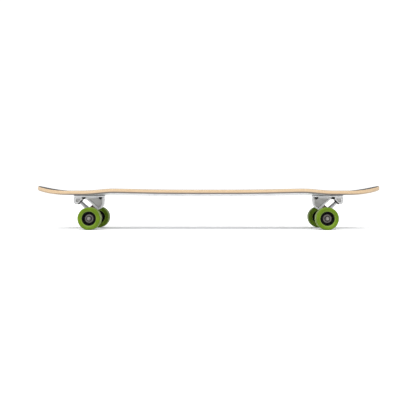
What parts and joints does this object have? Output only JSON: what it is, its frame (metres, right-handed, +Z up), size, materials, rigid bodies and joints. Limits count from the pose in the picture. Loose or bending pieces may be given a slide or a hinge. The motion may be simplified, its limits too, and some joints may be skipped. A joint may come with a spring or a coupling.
{
  "type": "skateboard",
  "caption": "Longboard skateboard with a kicked maple deck, grip tape, leaning cast trucks that steer, and soft urethane wheels on bearings.",
  "frame": {"origin": "on the floor under the middle of the deck", "axes": "+X along the deck towards the nose, +Y to the rider's left, +Z up from the floor"},
  "size_m": [1.092, 0.254, 0.1368],
  "materials": {
    "maple": "clear lacquered maple plies on the edge, painted underside",
    "grit": "dark silicon carbide grit on film",
    "black_rubber": "matt black",
    "cast_aluminium": "raw cast and tumbled",
    "steel": "zinc plated and ground",
    "black_steel": "black oxide",
    "bushing_urethane": "dark brown translucent urethane",
    "black_plastic": "moulded black nylon",
    "green_urethane": "satin cast urethane"
  },
  "bodies": {
    "board": {"deck": "maple", "grip_tape": "grit", "front_riser_pad": "black_rubber", "front_baseplate": "cast_aluminium", "front_mounting_bolt_1": "black_steel", "front_mounting_bolt_2": "black_steel", "front_mounting_bolt_3": "black_steel", "front_mounting_bolt_4": "black_steel", "front_pivot_cup": "black_rubber", "front_kingpin": "steel", "front_seat_washer": "steel", "front_boardside_bushing": "bushing_urethane", "front_roadside_bushing": "bushing_urethane", "front_cup_washer": "steel", "front_kingpin_nut": "steel", "rear_riser_pad": "black_rubber", "rear_baseplate": "cast_aluminium", "rear_mounting_bolt_1": "black_steel", "rear_mounting_bolt_2": "black_steel", "rear_mounting_bolt_3": "black_steel", "rear_mounting_bolt_4": "black_steel", "rear_pivot_cup": "black_rubber", "rear_kingpin": "steel", "rear_seat_washer": "steel", "rear_boardside_bushing": "bushing_urethane", "rear_roadside_bushing": "bushing_urethane", "rear_cup_washer": "steel", "rear_kingpin_nut": "steel"},
    "front_hanger_assembly": {"front_hanger": "cast_aluminium", "front_axle": "steel", "front_left_bearing_spacer": "steel", "front_left_speed_washer": "steel", "front_left_axle_nut": "steel", "front_right_bearing_spacer": "steel", "front_right_speed_washer": "steel", "front_right_axle_nut": "steel"},
    "front_left_wheel": {"front_left_tyre": "green_urethane", "front_left_wheel_core": "black_plastic", "front_left_inner_bearing": "steel", "front_left_outer_bearing": "steel"},
    "front_right_wheel": {"front_right_tyre": "green_urethane", "front_right_wheel_core": "black_plastic", "front_right_inner_bearing": "steel", "front_right_outer_bearing": "steel"},
    "rear_hanger_assembly": {"rear_hanger": "cast_aluminium", "rear_axle": "steel", "rear_left_bearing_spacer": "steel", "rear_left_speed_washer": "steel", "rear_left_axle_nut": "steel", "rear_right_bearing_spacer": "steel", "rear_right_speed_washer": "steel", "rear_right_axle_nut": "steel"},
    "rear_left_wheel": {"rear_left_tyre": "green_urethane", "rear_left_wheel_core": "black_plastic", "rear_left_inner_bearing": "steel", "rear_left_outer_bearing": "steel"},
    "rear_right_wheel": {"rear_right_tyre": "green_urethane", "rear_right_wheel_core": "black_plastic", "rear_right_inner_bearing": "steel", "rear_right_outer_bearing": "steel"}
  },
  "joints": [
    {"name": "front_steer", "type": "hinge", "parent": "board", "child": "front_hanger_assembly", "pos_m": [0.37975, 0, 0.05375], "axis": [0.7071, 0, 0.7071], "range_deg": [-18, 18], "stiffness_Nm_per_rad": 60, "deforming": ["front_boardside_bushing", "front_roadside_bushing"]},
    {"name": "front_left_wheel_spin", "type": "hinge", "parent": "front_hanger_assembly", "child": "front_left_wheel", "pos_m": [0.3665, 0.103, 0.035], "axis": [0, 1, 0], "continuous": true},
    {"name": "front_right_wheel_spin", "type": "hinge", "parent": "front_hanger_assembly", "child": "front_right_wheel", "pos_m": [0.3665, -0.103, 0.035], "axis": [0, 1, 0], "continuous": true},
    {"name": "rear_steer", "type": "hinge", "parent": "board", "child": "rear_hanger_assembly", "pos_m": [-0.37975, 0, 0.05375], "axis": [-0.7071, 0, 0.7071], "range_deg": [-18, 18], "stiffness_Nm_per_rad": 60, "deforming": ["rear_boardside_bushing", "rear_roadside_bushing"]},
    {"name": "rear_left_wheel_spin", "type": "hinge", "parent": "rear_hanger_assembly", "child": "rear_left_wheel", "pos_m": [-0.3665, 0.103, 0.035], "axis": [0, 1, 0], "continuous": true},
    {"name": "rear_right_wheel_spin", "type": "hinge", "parent": "rear_hanger_assembly", "child": "rear_right_wheel", "pos_m": [-0.3665, -0.103, 0.035], "axis": [0, 1, 0], "continuous": true}
  ]
}
